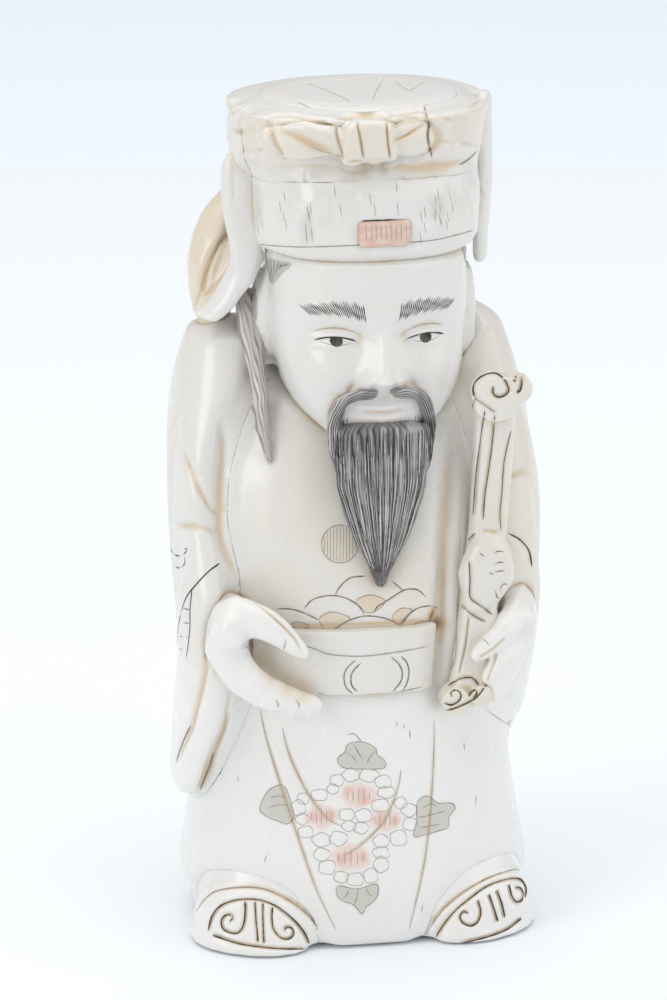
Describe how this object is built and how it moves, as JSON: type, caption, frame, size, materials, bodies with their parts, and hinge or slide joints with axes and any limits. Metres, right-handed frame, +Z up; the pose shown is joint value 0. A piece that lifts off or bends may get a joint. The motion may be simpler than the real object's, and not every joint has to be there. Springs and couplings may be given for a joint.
{
  "type": "carved figurine",
  "caption": "Carved bone figurine of a bearded deity in a flat-topped hat and wide-sleeved robe with a scroll-headed sceptre; stands on its flat foot as an ornament.",
  "frame": {"origin": "middle of the flat foot, at table level", "axes": "+Z up, the figure faces -Y, +X is the figure's left"},
  "size_m": [0.0536, 0.0391, 0.1207],
  "materials": {
    "ivory": "polished cream bone with brown stain in the cuts",
    "pale_ivory": "polished white bone",
    "stained_hair": "bone engraved with strands and stained grey-black",
    "red_inlay": "bone tinted salmon red"
  },
  "bodies": {
    "root": {"robe_trunk": "ivory", "belt": "ivory", "foot_plug": "ivory", "right_shoe": "ivory", "left_shoe": "ivory", "head": "pale_ivory", "beard": "stained_hair", "side_lock": "stained_hair", "neck_peg": "ivory", "hat_band": "ivory", "hat_crown": "ivory", "crown_inset": "pale_ivory", "hat_bow": "ivory", "hat_badge": "red_inlay", "right_hat_ribbon": "ivory", "left_hat_ribbon": "ivory", "right_hat_tail": "ivory", "left_hat_tail": "ivory", "hat_peg": "ivory", "right_sleeve": "ivory", "left_sleeve": "ivory", "right_hand": "ivory", "left_hand": "ivory", "sceptre": "ivory", "right_arm_peg": "ivory", "left_arm_peg": "ivory", "right_wrist_peg": "ivory", "left_wrist_peg": "ivory"}
  },
  "joints": []
}
